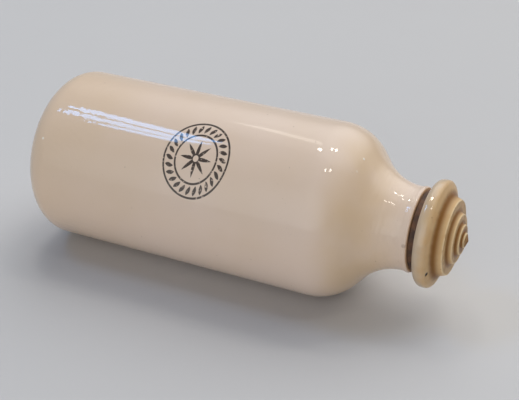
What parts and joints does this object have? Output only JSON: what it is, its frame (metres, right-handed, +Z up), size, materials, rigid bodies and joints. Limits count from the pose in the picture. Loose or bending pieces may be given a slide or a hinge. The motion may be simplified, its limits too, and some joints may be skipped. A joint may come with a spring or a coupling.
{
  "type": "stoneware hot water bottle",
  "caption": "Cylindrical glazed stoneware hot water bottle lying on its side, with a narrow neck closed by a ringed screw stopper on a rubber washer.",
  "frame": {"origin": "on the surface that the bottle lies on, under the middle of its length and of its body", "axes": "+X along the bottle's axis from the foot towards the stopper, +Z up, +Y across the bottle"},
  "size_m": [0.2592, 0.1, 0.1],
  "materials": {
    "bottle_glaze": "gloss",
    "washer_rubber": "matte",
    "stopper_stoneware": "satin"
  },
  "bodies": {
    "bottle": {"bottle": "bottle_glaze"},
    "washer": {"sealing_washer": "washer_rubber"},
    "stopper": {"stopper": "stopper_stoneware"}
  },
  "joints": [
    {"name": "stopper_rise", "type": "slide", "parent": "bottle", "child": "washer", "axis": [1, 0, 0], "range_m": [0, 0.0195]},
    {"name": "stopper_turn", "type": "hinge", "parent": "washer", "child": "stopper", "pos_m": [0, 0, 0.05], "axis": [1, 0, 0], "range_deg": [0, 1080]}
  ],
  "couplings": [
    {"joint": "stopper_rise", "follows": "stopper_turn", "m_per_rad": 0.0010345}
  ]
}
